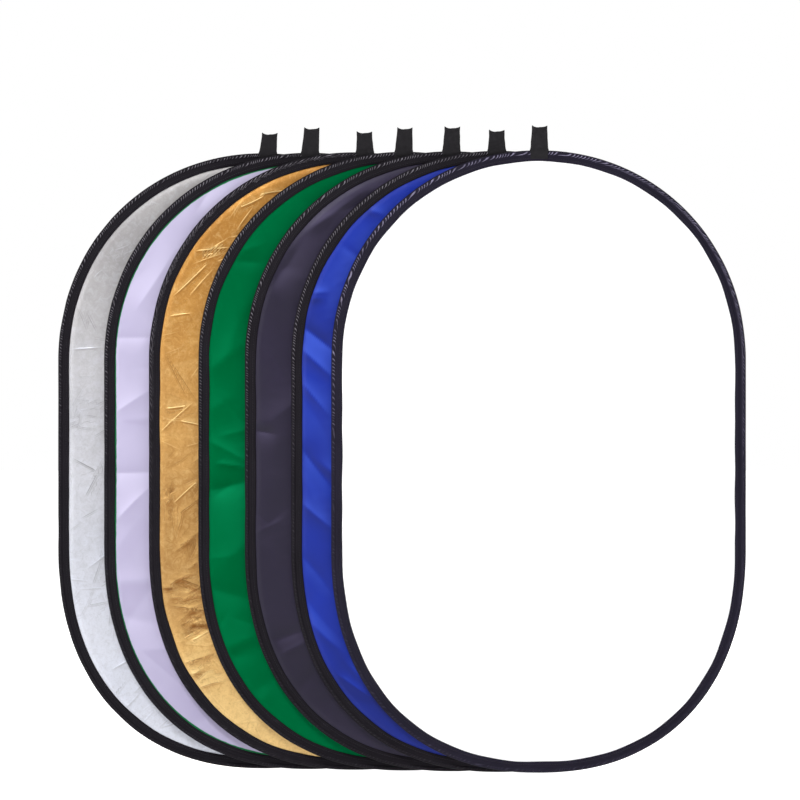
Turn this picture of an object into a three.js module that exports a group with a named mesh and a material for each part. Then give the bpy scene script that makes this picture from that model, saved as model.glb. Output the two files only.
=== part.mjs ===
// A set of seven collapsible reflector panels, fanned out as for display.
// Each panel is an upright oval: a flat spring-steel hoop closed by a crimped ferrule, a folded
// binding tape around it, fabric skins sewn into the binding, and a webbing loop to hang it by.
// Units are millimetres. +X is right, +Y points away from the viewer, +Z is up.
// The origin is the middle of the set, on the floor.
import * as THREE from "three";

// Oval outline: straight sides joined by superelliptic ends. A standing panel sags a little, so its
// bottom end is squarer than its top end. Straights are measured from the middle of the oval.
const PANEL_WIDTH = 600;
const PANEL_HEIGHT = 900;
const TOP_END = { straight: 146, power: 2.05 };
const BOTTOM_END = { straight: 125, power: 2.25 };
const OUTLINE_STEPS = 48; // a multiple of four, so that the top, bottom and sides are flats

// Depth from one panel to the next in the fan.
const PANEL_PITCH = 14;

// Folded binding tape, as a wedge that is thickest over the hoop.
const RIM_WIDTH = 16;
const TAPE = 1;
const RIM_EDGE_HALF = 3.6;
const RIM_BULGE_HALF = 4.2;
const RIM_BULGE_INSET = 3.5;
const RIM_MOUTH_HALF = 2.1;

// Flat spring-steel hoop and the ferrule that closes it.
const HOOP_INSET = 2.2;
const HOOP_THICK = 1;
const HOOP_WIDTH = 4;
const FERRULE_LENGTH = 24;
const FERRULE_WALL = 0.5;
const GAP = 0.3; // running clearance between neighbouring pieces

// Fabric skins.
const SKIN_THICK = 0.5;
const SKIN_INSET = 6;
const SKIN_SPACING = 1; // between the middles of the front and the back skin

// Webbing hang loop and the sewn tails that hold it on the rim.
const WEBBING = 1.2;
const WEBBING_WIDTH = 25;
const TAIL_LENGTH = 13;
const LOOP_RADIUS = 3.6;
const LOOP_PIVOT = 2 * GAP + WEBBING + LOOP_RADIUS; // above the rim's top flat
const LOOP_CURVE_STEPS = 6;

// The panels from front to back: each one's step to the left of the panel before it, how far its
// hang loop is sewn off centre, how high the loop stands, and its front and back fabric.
const PANELS = [
  { name: "diffuser", step: 0, loopShift: 1, loopHeight: 35, front: "diffuser" },
  { name: "blue", step: 58, loopShift: -2, loopHeight: 29.5, front: "blue", back: "green" },
  { name: "black", step: 67.5, loopShift: 0, loopHeight: 35, front: "black", back: "soft_white" },
  { name: "green", step: 68, loopShift: -1, loopHeight: 34.5, front: "green", back: "blue" },
  { name: "gold", step: 72.5, loopShift: 15, loopHeight: 29.5, front: "gold", back: "silver" },
  { name: "soft_white", step: 66, loopShift: 1, loopHeight: 36, front: "soft_white", back: "black" },
  { name: "silver", step: 68, loopShift: 7, loopHeight: 29, front: "silver", back: "gold" },
];

const FINISHES = {
  steel: { color: 0x9a9c9f, roughness: 0.35, metalness: 1 },
  ferrule: { color: 0xb4b2ac, roughness: 0.45, metalness: 1 },
  binding: { color: 0x17151a, roughness: 0.75, metalness: 0 },
  webbing: { color: 0x1c1b1d, roughness: 0.85, metalness: 0 },
  diffuser: { color: 0xfbfbfb, roughness: 0.8, metalness: 0 },
  blue: { color: 0x2743a0, roughness: 0.45, metalness: 0 },
  black: { color: 0x3a3346, roughness: 0.5, metalness: 0 },
  green: { color: 0x006c3e, roughness: 0.6, metalness: 0 },
  gold: { color: 0xd6a256, roughness: 0.35, metalness: 0.8 },
  soft_white: { color: 0xd3cbe8, roughness: 0.55, metalness: 0 },
  silver: { color: 0xc8c7cf, roughness: 0.35, metalness: 0.8 },
};

const HALF_WIDTH = PANEL_WIDTH / 2;
const STEP_ANGLE = (2 * Math.PI) / OUTLINE_STEPS;

// The point of the oval at an angle, moved inwards along the outline's normal.
function outlinePoint(angle, inset) {
  const cos = Math.cos(angle);
  const sin = Math.sin(angle);
  const { straight, power } = sin > 0 ? TOP_END : BOTTOM_END;
  const endHeight = PANEL_HEIGHT / 2 - straight;
  const across = Math.abs(cos) ** (2 / power);
  const up = Math.abs(sin) ** (2 / power);
  const point = new THREE.Vector2(HALF_WIDTH * across, straight + endHeight * up);
  const normal = new THREE.Vector2(
    across ** (power - 1) / HALF_WIDTH,
    up ** (power - 1) / endHeight,
  ).normalize();
  return point.addScaledVector(normal, -inset).multiply({ x: Math.sign(cos), y: Math.sign(sin) });
}

// Heights of the flats at the top and the bottom of the outline, from the middle of the oval.
function topFlat(inset) {
  return outlinePoint(Math.PI / 2 - STEP_ANGLE / 2, inset).y;
}

function bottomFlat(inset) {
  return outlinePoint(-Math.PI / 2 + STEP_ANGLE / 2, inset).y;
}

// A ring along the oval from a closed cross-section, given as [inset, depth] corners.
function ovalRing(section) {
  const corners = [...section, section[0]];
  const profile = corners.map(([inset, depth]) => new THREE.Vector2(HALF_WIDTH - inset, depth));
  const ring = new THREE.LatheGeometry(profile, OUTLINE_STEPS, STEP_ANGLE / 2);
  const place = ring.getAttribute("position");
  for (let i = 0; i < place.count; i++) {
    const x = place.getX(i);
    const z = place.getZ(i);
    const point = outlinePoint(Math.atan2(z, x), HALF_WIDTH - Math.hypot(x, z));
    place.setXYZ(i, point.x, place.getY(i), point.y);
  }
  ring.computeVertexNormals();
  return ring;
}

// A flat oval sheet in the XZ plane, centred on Y = 0.
function ovalSheet(inset, thickness) {
  const points = [];
  for (let i = 0; i < OUTLINE_STEPS; i++) {
    points.push(outlinePoint((i + 0.5) * STEP_ANGLE, inset));
  }
  const sheet = new THREE.ExtrudeGeometry(new THREE.Shape(points), {
    depth: thickness,
    bevelEnabled: false,
  });
  return sheet.translate(0, 0, -thickness / 2).rotateX(Math.PI / 2);
}

// A bar along X, centred on X = 0, from a shape drawn in Y and Z.
function barAlongX(shape, length) {
  const bar = new THREE.ExtrudeGeometry(shape, {
    depth: length,
    bevelEnabled: false,
    curveSegments: LOOP_CURVE_STEPS,
  });
  const turn = new THREE.Matrix4().makeBasis(
    new THREE.Vector3(0, 1, 0),
    new THREE.Vector3(0, 0, 1),
    new THREE.Vector3(1, 0, 0),
  );
  return bar.translate(0, 0, -length / 2).applyMatrix4(turn);
}

function rectangle(halfWidth, low, high) {
  return [
    new THREE.Vector2(-halfWidth, low),
    new THREE.Vector2(halfWidth, low),
    new THREE.Vector2(halfWidth, high),
    new THREE.Vector2(-halfWidth, high),
  ];
}

// An upright slot outline with round ends, its lower round centred on the origin.
function roundEnded(radius, length) {
  const slot = new THREE.Path();
  slot.moveTo(radius, 0);
  slot.lineTo(radius, length);
  slot.absarc(0, length, radius, 0, Math.PI, false);
  slot.lineTo(-radius, 0);
  slot.absarc(0, 0, radius, Math.PI, 2 * Math.PI, false);
  return slot.getPoints(LOOP_CURVE_STEPS);
}

function springHoop() {
  const half = HOOP_WIDTH / 2;
  return ovalRing([
    [HOOP_INSET, -half],
    [HOOP_INSET, half],
    [HOOP_INSET + HOOP_THICK, half],
    [HOOP_INSET + HOOP_THICK, -half],
  ]);
}

// A crimped sleeve around the hoop, on the flat at the bottom of the oval.
function hoopFerrule() {
  const hoopLow = bottomFlat(HOOP_INSET);
  const hoopHigh = bottomFlat(HOOP_INSET + HOOP_THICK);
  const holeHalf = HOOP_WIDTH / 2 + GAP;
  const low = hoopLow - GAP;
  const high = hoopHigh + GAP;
  const sleeve = new THREE.Shape(
    rectangle(holeHalf + FERRULE_WALL, low - FERRULE_WALL, high + FERRULE_WALL),
  );
  sleeve.holes.push(new THREE.Path(rectangle(holeHalf, low, high)));
  return barAlongX(sleeve, FERRULE_LENGTH);
}

// The tape wraps the hoop and stays open along its inner edge, where the skins go in.
function binding() {
  const channelHalf = RIM_BULGE_HALF - TAPE;
  const channelEnd = HOOP_INSET + HOOP_THICK + FERRULE_WALL + 2 * GAP;
  const mouthHalf = RIM_MOUTH_HALF - TAPE;
  return ovalRing([
    [0, -RIM_EDGE_HALF],
    [0, RIM_EDGE_HALF],
    [RIM_BULGE_INSET, RIM_BULGE_HALF],
    [RIM_WIDTH, RIM_MOUTH_HALF],
    [RIM_WIDTH, mouthHalf],
    [channelEnd, channelHalf],
    [TAPE, channelHalf],
    [TAPE, -channelHalf],
    [channelEnd, -channelHalf],
    [RIM_WIDTH, -mouthHalf],
    [RIM_WIDTH, -RIM_MOUTH_HALF],
    [RIM_BULGE_INSET, -RIM_BULGE_HALF],
  ]);
}

// The sewn tails of the webbing: a saddle over the rim, its top at the rim's top flat.
function loopSaddle() {
  const inner = RIM_BULGE_HALF + GAP;
  const outer = inner + WEBBING;
  const shape = new THREE.Shape([
    new THREE.Vector2(-outer, -TAIL_LENGTH),
    new THREE.Vector2(-inner, -TAIL_LENGTH),
    new THREE.Vector2(-inner, GAP),
    new THREE.Vector2(inner, GAP),
    new THREE.Vector2(inner, -TAIL_LENGTH),
    new THREE.Vector2(outer, -TAIL_LENGTH),
    new THREE.Vector2(outer, GAP + WEBBING),
    new THREE.Vector2(-outer, GAP + WEBBING),
  ]);
  return barAlongX(shape, WEBBING_WIDTH);
}

// The standing loop, folded over at the top. It bends at its lower round, which is the origin.
function hangLoop(height) {
  const length = height - LOOP_RADIUS - LOOP_PIVOT;
  const shape = new THREE.Shape(roundEnded(LOOP_RADIUS, length));
  shape.holes.push(new THREE.Path(roundEnded(LOOP_RADIUS - WEBBING, length)));
  return barAlongX(shape, WEBBING_WIDTH);
}

function piece(name, geometry, finish) {
  const mesh = new THREE.Mesh(geometry, new THREE.MeshStandardMaterial(FINISHES[finish]));
  mesh.name = name;
  return mesh;
}

// One skin for the translucent panel, two back to back for a reversible one.
function skins(panel) {
  const sheet = () => ovalSheet(SKIN_INSET, SKIN_THICK);
  if (!panel.back) return [piece(`${panel.name}_skin`, sheet(), panel.front)];
  const front = piece(`${panel.name}_front_skin`, sheet(), panel.front);
  front.position.y = -SKIN_SPACING / 2;
  const back = piece(`${panel.name}_back_skin`, sheet(), panel.back);
  back.position.y = SKIN_SPACING / 2;
  return [front, back];
}

// A whole panel with the middle of its oval at the group's origin.
function reflectorPanel(panel) {
  const group = new THREE.Group();
  group.add(piece(`${panel.name}_spring_hoop`, springHoop(), "steel"));
  group.add(piece(`${panel.name}_hoop_ferrule`, hoopFerrule(), "ferrule"));
  group.add(piece(`${panel.name}_binding`, binding(), "binding"));
  group.add(...skins(panel));

  const saddle = piece(`${panel.name}_loop_saddle`, loopSaddle(), "webbing");
  saddle.position.set(panel.loopShift, 0, topFlat(0));
  const loop = piece(`${panel.name}_hang_loop`, hangLoop(panel.loopHeight), "webbing");
  loop.position.set(panel.loopShift, 0, topFlat(0) + LOOP_PIVOT);
  group.add(saddle, loop);
  return group;
}

// The panels stand on their bottom flats, each a step left of and behind the one before it.
function reflectorFan() {
  const fan = new THREE.Group();
  const width = PANELS.reduce((sum, panel) => sum + panel.step, 0);
  const depth = PANEL_PITCH * (PANELS.length - 1);
  let x = width / 2;
  PANELS.forEach((panel, index) => {
    x -= panel.step;
    const group = reflectorPanel(panel);
    group.position.set(x, PANEL_PITCH * index - depth / 2, -bottomFlat(0));
    fan.add(group);
  });
  return fan;
}

const reflectorSet = reflectorFan();
export default reflectorSet;
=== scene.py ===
"""Looks of a fanned set of seven oval pop-up reflectors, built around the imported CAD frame."""
import math

import bmesh
import bpy
import numpy as np
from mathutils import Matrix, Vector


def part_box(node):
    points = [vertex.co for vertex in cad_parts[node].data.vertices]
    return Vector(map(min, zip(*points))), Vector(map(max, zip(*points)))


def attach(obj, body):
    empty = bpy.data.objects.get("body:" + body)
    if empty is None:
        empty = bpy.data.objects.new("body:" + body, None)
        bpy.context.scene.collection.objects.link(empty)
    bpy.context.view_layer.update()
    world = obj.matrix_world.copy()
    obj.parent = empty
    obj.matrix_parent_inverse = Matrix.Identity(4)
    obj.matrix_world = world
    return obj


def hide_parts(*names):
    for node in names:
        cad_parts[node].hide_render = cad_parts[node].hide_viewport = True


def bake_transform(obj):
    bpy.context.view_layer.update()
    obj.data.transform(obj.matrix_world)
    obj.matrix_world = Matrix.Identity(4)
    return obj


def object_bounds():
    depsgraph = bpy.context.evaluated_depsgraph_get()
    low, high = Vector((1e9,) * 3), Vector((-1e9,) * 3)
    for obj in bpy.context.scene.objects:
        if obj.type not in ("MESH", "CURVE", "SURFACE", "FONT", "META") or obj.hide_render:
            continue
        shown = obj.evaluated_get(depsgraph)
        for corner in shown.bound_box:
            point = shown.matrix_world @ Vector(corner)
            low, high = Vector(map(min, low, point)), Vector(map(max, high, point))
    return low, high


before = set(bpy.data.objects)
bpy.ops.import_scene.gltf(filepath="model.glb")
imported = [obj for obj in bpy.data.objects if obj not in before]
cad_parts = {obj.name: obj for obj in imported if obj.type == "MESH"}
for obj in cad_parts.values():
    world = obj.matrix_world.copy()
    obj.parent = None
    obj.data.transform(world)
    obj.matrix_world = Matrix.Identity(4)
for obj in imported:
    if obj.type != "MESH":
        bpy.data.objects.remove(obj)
cad_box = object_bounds()

MM = 0.001

# The oval that every panel shares. Its width and height come from the CAD binding.
TOP_STRAIGHT, TOP_POWER = 146 * MM, 2.05
BOTTOM_STRAIGHT, BOTTOM_POWER = 125 * MM, 2.25

# Folded binding tape, by distance inwards from the outer edge of the rim. Its cross-section is sampled at the
# given insets in millimetres, on the outside and on the inside of the fold.
RIM_WIDTH = 16 * MM
TAPE_OUTSIDE = (16, 14.2, 11.5, 9.2, 7.8, 6.8, 5.9, 5, 4.1, 3.3, 2.5, 1.7, 0.95, 0.35)
TAPE_INSIDE = (2.0, 4.0, RIM_WIDTH / MM)
TAPE_THICK = 0.8 * MM
BULGE_HALF = 4.1 * MM
BULGE_INSET = 3.6 * MM
FLANGE_INSET = 9 * MM
FLANGE_HALF = 1.9 * MM
RIM_STEP = 1.3 * MM

# The tape's gathers: height of the puckers and of their slow bulk, share of them and of their painted
# highlight left at the bottom, run and wiggle of each stroke across the tape, and how far the tape's inner
# and outer edges wander.
PUCKER_HEIGHT, PUCKER_BULK = 0.6 * MM, 0.3 * MM
PUCKER_AT_BOTTOM = 0.08
STROKE_RUN, STROKE_WIGGLE = 3.4 * MM, 6.2 * MM
INNER_WAVER, OUTER_SWAY = 0.4 * MM, 0.22 * MM

# Fabric skins.
SKIN_THICK = 0.3 * MM
SKIN_INSET = 12.5 * MM
SKIN_OFFSET = 0.45 * MM
SKIN_CELL = 3.4 * MM
# Largest relief, and the billow that all folds stand on, in millimetres.
RELIEF_LIMIT = 5.2
BILLOW = 1.7
# The direction, across a sheet, from which the painted light falls on its folds.
FOLD_LIGHT = (-0.35, 0.94)

# The hoop: a flat steel strip, by distance inwards from the outer edge of the rim, and its joining sleeve.
HOOP_OUTER, HOOP_INNER, HOOP_HALF = 2.2 * MM, 3.2 * MM, 2.0 * MM
HOOP_BEVEL = 0.3 * MM
FERRULE_WALL = 0.5 * MM
FERRULE_GROOVES, GROOVE_DEPTH, GROOVE_WIDTH = (-0.45, 0.45), 0.16, 0.09

# Hang loop webbing.
WEBBING_THICK = 1.2 * MM
WEBBING_BASE = 25.4 * MM
WEBBING_TOP = 22.4 * MM
WEBBING_STEP = 0.7 * MM
TAIL_LENGTH = 12.5 * MM
# How far the top corners stand up, at the left and at the right.
HORN_LEFT, HORN_RIGHT = 3.4 * MM, 2.4 * MM

# Stitching.
STITCH_PITCH = 3.6 * MM
STITCH_LENGTH = 2.7 * MM
STITCH_RADIUS = 0.28 * MM
SEAM_INSET = 11.6 * MM
# The stitch's cross-sections: place along it as a share of its length, and thickness.
STITCH_ROWS = ((-0.5, 0.35), (-0.25, 1.0), (0.25, 1.0), (0.5, 0.35))

# Each panel: fabric of its front and back face and sideways lean of its hang loop. Its tape's puckers: their
# spacing, strength of their bump and painted highlight, and slant, how far in they reach in millimetres and
# how the slant grows at the right.
PANELS = {
    "diffuser": dict(
        front="diffuser", lean=0.02,
        pitch=7.0 * MM, pucker=0.95, slant=0.7, strip=5.4, satin=2.2,
    ),
    "blue": dict(
        front="blue", back="green", lean=0.0,
        pitch=4.8 * MM, pucker=1.1, slant=0.9, strip=5.2, satin=0,
    ),
    "black": dict(
        front="black", back="soft_white", lean=0.04,
        pitch=4.6 * MM, pucker=1.05, slant=0.8, strip=5.0, satin=0,
    ),
    "green": dict(
        front="green", back="blue", lean=0.05,
        pitch=4.6 * MM, pucker=1.1, slant=0.8, strip=5.0, satin=0,
    ),
    "gold": dict(
        front="gold", back="silver", lean=-0.03,
        pitch=8.0 * MM, pucker=1.0, slant=2.0, strip=7.5, satin=0,
    ),
    "soft_white": dict(
        front="soft_white", back="black", lean=0.07,
        pitch=4.4 * MM, pucker=1.0, slant=0.8, strip=5.0, satin=0,
    ),
    "silver": dict(
        front="silver", back="gold", lean=0.1,
        pitch=4.6 * MM, pucker=0.85, slant=0.8, strip=4.6, satin=0,
    ),
}

# Material name of each fabric.
SLOTS = {
    "diffuser": "diffuser_fabric", "blue": "blue_fabric", "black": "black_fabric", "green": "green_fabric",
    "gold": "gold_foil_fabric", "soft_white": "soft_white_fabric", "silver": "silver_foil_fabric",
}

# Scattered creases of each fabric: groups of lines in a zone of the sheet's height, lines in a group and
# scatter within it, length range, width, height and softness of the fold in millimetres, mean angle and its
# spread in degrees, and how strongly the crest shows as a fine painted highlight line, a painted shade line
# if negative.
CREASES = {
    "diffuser": [
        dict(groups=12, length=(160, 320), width=24, height=0.8, soft=9, angle=60, spread=40),
    ],
    "blue": [
        dict(groups=44, length=(90, 200), width=10, height=1.8, soft=3, angle=-44, spread=10),
        dict(groups=40, length=(40, 110), width=6, height=0.9, soft=2, angle=-35, spread=30),
    ],
    "black": [
        dict(groups=44, length=(70, 190), width=12, height=1.2, soft=5, angle=35, spread=28),
        dict(groups=60, length=(30, 100), width=6, height=0.6, soft=2, angle=-20, spread=40),
    ],
    "green": [
        dict(groups=40, length=(80, 200), width=15, height=1.6, soft=6, angle=20, spread=35),
        dict(groups=56, length=(40, 110), width=7, height=0.7, soft=2, angle=0, spread=25),
    ],
    "gold": [
        dict(groups=60, length=(60, 170), width=10, height=0.6, soft=3, angle=45, spread=35),
        dict(
            groups=34, zone=(0.3, 0.95), lines=3, scatter=11, length=(22, 80),
            width=2.6, height=0.12, angle=34, spread=16, crest=0.6,
        ),
        dict(
            groups=44, zone=(-0.15, 0.4), lines=2, scatter=9, length=(20, 64),
            width=2.6, height=0.16, angle=20, spread=45, crest=0.5,
        ),
        dict(
            groups=110, zone=(-0.35, 0.05), lines=3, scatter=10, length=(16, 60),
            width=3.4, height=0.5, angle=58, spread=18, crest=-0.6,
        ),
        dict(
            groups=130, zone=(-0.72, -0.3), lines=3, scatter=9, length=(16, 64),
            width=4.0, height=0.8, angle=6, spread=26, crest=-0.75,
        ),
        dict(
            groups=50, zone=(-0.98, -0.6), lines=2, scatter=12, length=(20, 70),
            width=3.4, height=0.2, angle=-30, spread=35, crest=0.3,
        ),
    ],
    "soft_white": [
        dict(groups=40, length=(80, 220), width=16, height=1.3, soft=4, angle=50, spread=20),
        dict(groups=34, length=(80, 160), width=12, height=1.2, soft=2, angle=-2, spread=8),
    ],
    "silver": [
        dict(groups=50, length=(70, 190), width=12, height=0.55, soft=4, angle=50, spread=45),
        dict(
            groups=130, zone=(-0.8, 0.5), lines=3, scatter=15, length=(16, 70),
            width=2.6, height=0.14, angle=60, spread=45, crest=-0.6,
        ),
        dict(
            groups=60, zone=(0.1, 0.95), lines=2, scatter=14, length=(14, 50),
            width=2.6, height=0.12, angle=40, spread=50, crest=0.45,
        ),
        dict(
            groups=60, zone=(-0.98, -0.35), lines=2, scatter=14, length=(20, 80),
            width=4.0, height=0.3, angle=35, spread=25, crest=0.5,
        ),
    ],
}

# Each fabric's main folds: middle from the centre of the sheet, length, angle in degrees, width, height (a
# valley if negative) and softness in millimetres, and how strongly the crest shows as a painted highlight
# line, a painted shade line if negative.
FOLDS = {
    "diffuser": [],
    "blue": [
        (-263, 180, 130, -38, 13, -2.6, 2, 0), (-262, 142, 110, -42, 11, 2.0, 2, 0),
        (-266, 92, 90, -50, 8, 1.5, 1.5, 0), (-262, -10, 120, -52, 13, -2.4, 2, 0),
        (-262, -80, 90, -40, 10, 1.4, 2, 0), (-206, -327, 80, -35, 9, 1.5, 1.5, 0),
    ],
    "black": [
        (-168, 362, 130, 35, 15, 2.0, 3, 0), (-240, 283, 100, 55, 13, -1.2, 4, 0),
        (-272, 43, 50, -10, 9, -1.9, 1.5, 0), (-268, -97, 80, 30, 10, 0.9, 2, 0),
        (-233, -251, 80, 20, 13, -1.6, 3, 0), (-222, -268, 80, 28, 7, 0.8, 2, 0),
    ],
    "green": [
        (-259, 16, 100, -28, 13, 2.6, 1.5, 0), (-250, -6, 60, -8, 7, 1.8, 1.5, 0),
        (-255, -36, 100, 14, 15, -2.2, 2, 0), (-227, 290, 80, -3, 11, -1.3, 1.2, 0),
        (-232, 306, 90, 18, 9, 1.0, 1.2, 0), (-253, 156, 110, 40, 15, 2.0, 6, 0),
        (-249, -193, 110, -15, 18, -2.2, 5, 0), (-236, -262, 90, 22, 16, 1.6, 4, 0),
    ],
    "gold": [
        (-234, 268, 90, 44, 5, 0.5, 1.2, 1.0), (-222, 262, 60, 48, 4, 0.3, 1.2, 0.6),
        (-204, 309, 60, 6, 4, 0.6, 1.2, 1.2), (-206, 302, 44, 12, 3, 0.3, 1.2, 0.8),
        (-149, 377, 70, 25, 4, 0.4, 1.2, 1.0), (-116, 392, 60, 8, 4, 0.5, 1.2, 1.2),
        (-252, 214, 40, 8, 3, 0.3, 1.2, 0.8), (-256, 79, 44, 8, 4, 0.4, 1.2, 1.1),
        (-238, 56, 40, -12, 4, 0.5, 1.2, 1.2), (-258, 66, 90, 42, 4, 0.3, 1.2, 0.6),
        (-258, 120, 100, -63, 4, 0.3, 1.2, -0.5), (-248, 116, 120, -57, 4, 0.3, 1.2, -0.45),
        (-241, -40, 80, 42, 5, 0.4, 1.2, 0.7), (-238, -64, 60, 36, 6, 0.5, 1.5, -0.8),
        (-228, -216, 90, -8, 8, 1.2, 1.5, -0.9), (-222, -286, 80, 18, 8, 1.1, 1.5, -0.8),
        (-230, -180, 80, -22, 7, 1.0, 1.5, -0.8), (-218, -250, 80, 30, 7, -0.9, 1.5, 0.6),
    ],
    "soft_white": [
        (-256, -17, 120, 1, 20, -2.8, 1.0, 0), (-255, 180, 110, 0, 11, -1.5, 1.2, 0),
        (-258, 87, 90, 33, 15, 2.0, 1.2, 0), (-254, 60, 90, 4, 14, 1.4, 3, 0),
        (-256, -60, 90, 45, 9, 1.5, 1.2, 0), (-213, -304, 110, -41, 15, -2.2, 1.2, 0),
        (-248, -176, 110, 4, 17, 2.0, 6, 0), (-246, -232, 110, -10, 16, -1.6, 5, 0),
        (-221, 267, 130, 57, 15, 1.8, 1.5, 0), (-143, 400, 100, 59, 15, -2.2, 1.5, 0),
    ],
    "silver": [
        (-252, -10, 70, -28, 4, 0.25, 1.2, -0.8), (-248, -30, 60, 62, 4, 0.2, 1.2, -0.7),
        (-256, 165, 50, 4, 3, 0.25, 1.2, 0.7), (-232, -138, 70, 38, 8, 0.7, 1.5, 0.5),
        (-226, -176, 80, 40, 9, -0.7, 1.5, 0), (-196, -290, 70, 30, 6, 0.6, 1.5, 0.6),
    ],
}

# Broad painted light or shade on each fabric: height above the middle and half height in millimetres, tone.
BANDS = {
    "diffuser": [],
    "blue": [(60, 90, 0.15), (-400, 130, -0.6)],
    "black": [(380, 70, 0.25), (-300, 90, -0.3)],
    "green": [(-60, 60, 0.2), (200, 80, -0.15)],
    "gold": [(-115, 110, -0.38), (-210, 60, -0.2), (-390, 110, 0.3), (330, 150, -0.12)],
    "soft_white": [(-360, 130, -0.35)],
    "silver": [(330, 140, -0.12)],
}

# Height in millimetres of each fabric's slow waves and overall crumple, and how strongly the painted light
# and shade follow its folds.
SLACK = {
    "diffuser": (0.3, 0.0, 0.0),
    "blue": (0.5, 0.1, 13.0),
    "black": (0.6, 0.15, 4.0),
    "green": (0.5, 0.12, 4.5),
    "gold": (0.4, 0.3, 2.6),
    "soft_white": (0.4, 0.06, 4.5),
    "silver": (0.4, 0.3, 2.6),
}

# The camera looks level at the fan's face: distance from the front panel, height above its middle, lens and
# sensor in millimetres.
CAMERA_DISTANCE, CAMERA_RISE = 7.0, 0.0888
LENS, SENSOR = 218.3, 36

# Studio lamps, aimed at the middle of the set: place and diameter in metres, power in watts.
AIM = (0.0, 0.0, 0.45)
LAMPS = {
    "key": ((-1.6, -3.8, 4.0), 1.5, 190),
    "fill": ((-2.6, -3.4, 0.8), 1.8, 34),
    "rear": ((1.8, 3.8, 4.0), 1.5, 120),
    "left": ((-5.0, 0.0, 1.6), 1.5, 40),
    "right": ((5.0, 0.0, 1.6), 1.5, 40),
}
# Light from the room at its sides, from behind the camera, and what is added behind the set.
ROOM_LIGHT, ROOM_FRONT, ROOM_BACK = 0.2, 0.06, 0.45

# Rings of the round floor, and its gap below the set.
FLOOR_RADII = (0.5, 2.0, 8.0, 30.0)
FLOOR_DROP = 0.5 * MM
FLOOR_SIDES = 96


# ---------------------------------------------------------------- shapes

def smooth(low, high, value):
    """0 below low, 1 above high and an S-curve between."""
    t = np.clip((value - low) / (high - low), 0.0, 1.0)
    return t * t * (3 - 2 * t)


def make_mesh(name, points, faces, material, uv=None, attributes=None):
    """A smooth-shaded mesh object from arrays, with an optional UV per point and point attributes."""
    mesh = bpy.data.meshes.new(name)
    mesh.from_pydata(np.asarray(points).tolist(), [], np.asarray(faces).tolist())
    mesh.polygons.foreach_set("use_smooth", np.ones(len(mesh.polygons), bool))
    if uv is not None:
        corner = np.zeros(len(mesh.loops), np.int32)
        mesh.loops.foreach_get("vertex_index", corner)
        layer = mesh.uv_layers.new(name="cloth")
        layer.data.foreach_set("uv", np.asarray(uv, np.float32)[corner].ravel())
    for key, values in (attributes or {}).items():
        layer = mesh.attributes.new(key, "FLOAT", "POINT")
        layer.data.foreach_set("value", np.asarray(values, np.float32).ravel())
    mesh.update()
    piece = bpy.data.objects.new(name, mesh)
    bpy.context.scene.collection.objects.link(piece)
    mesh.materials.append(material)
    return piece


def grid_faces(rows, columns, wrap_rows=False, wrap_columns=False):
    """Quads of a grid of points numbered row by row."""
    r = np.arange(rows if wrap_rows else rows - 1)
    c = np.arange(columns if wrap_columns else columns - 1)
    r, c = np.meshgrid(r, c, indexing="ij")
    r, c = r.ravel(), c.ravel()
    r2, c2 = (r + 1) % rows, (c + 1) % columns
    return np.stack([r * columns + c, r * columns + c2, r2 * columns + c2, r2 * columns + c], 1)


class Oval:
    """Straight sides joined by superelliptic ends, placed by length, anticlockwise from the right."""

    def __init__(self, half_width, half_height):
        angle = np.linspace(0, 2 * np.pi, 24001)
        cos, sin = np.cos(angle), np.sin(angle)
        power = np.where(sin > 0, TOP_POWER, BOTTOM_POWER)
        straight = np.where(sin > 0, TOP_STRAIGHT, BOTTOM_STRAIGHT)
        x = np.sign(cos) * half_width * np.abs(cos) ** (2 / power)
        z = np.sign(sin) * (straight + (half_height - straight) * np.abs(sin) ** (2 / power))
        x[-1], z[-1], z[0] = x[0], 0.0, 0.0
        run = np.concatenate([[0], np.cumsum(np.hypot(np.diff(x), np.diff(z)))])
        self.length = run[-1]
        self.share = run / run[-1]
        self.x, self.z = x, z

    def at(self, share):
        """Points and inward normals, as x and z, at shares of the way round."""
        def place(s):
            return np.interp(s % 1.0, self.share, self.x), np.interp(s % 1.0, self.share, self.z)

        share = np.asarray(share) % 1.0
        x, z = place(share)
        ahead, behind = place(share + 0.001), place(share - 0.001)
        tx, tz = ahead[0] - behind[0], ahead[1] - behind[1]
        size = np.hypot(tx, tz)
        return x, z, -tz / size, tx / size


def ring_noise(share, low, high, seed):
    """Smooth noise round a closed line, about -1 to 1, of low to high waves round it."""
    rng = np.random.default_rng(seed)
    total = np.zeros_like(share)
    count = 14
    for waves in rng.integers(low, high, count):
        total += rng.normal() * np.cos(2 * np.pi * (waves * share + rng.random()))
    return total / math.sqrt(count)


def ripples(x, z, wavelength, seed, count=9):
    """Smooth noise over a sheet, about -1 to 1."""
    rng = np.random.default_rng(seed)
    total = np.zeros_like(x)
    for _ in range(count):
        turn, phase = rng.random(2) * 2 * np.pi
        size = wavelength * rng.uniform(0.7, 1.5)
        total += np.cos((x * math.cos(turn) + z * math.sin(turn)) * 2 * np.pi / size + phase)
    return total / math.sqrt(count)


def crumple(x, z, wavelength, seed):
    """A net of irregular rounded ridges, a little over 2 at their tops."""
    return 2.5 - np.sqrt(ripples(x, z, wavelength, seed, 14) ** 2 + 0.0225)


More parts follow.
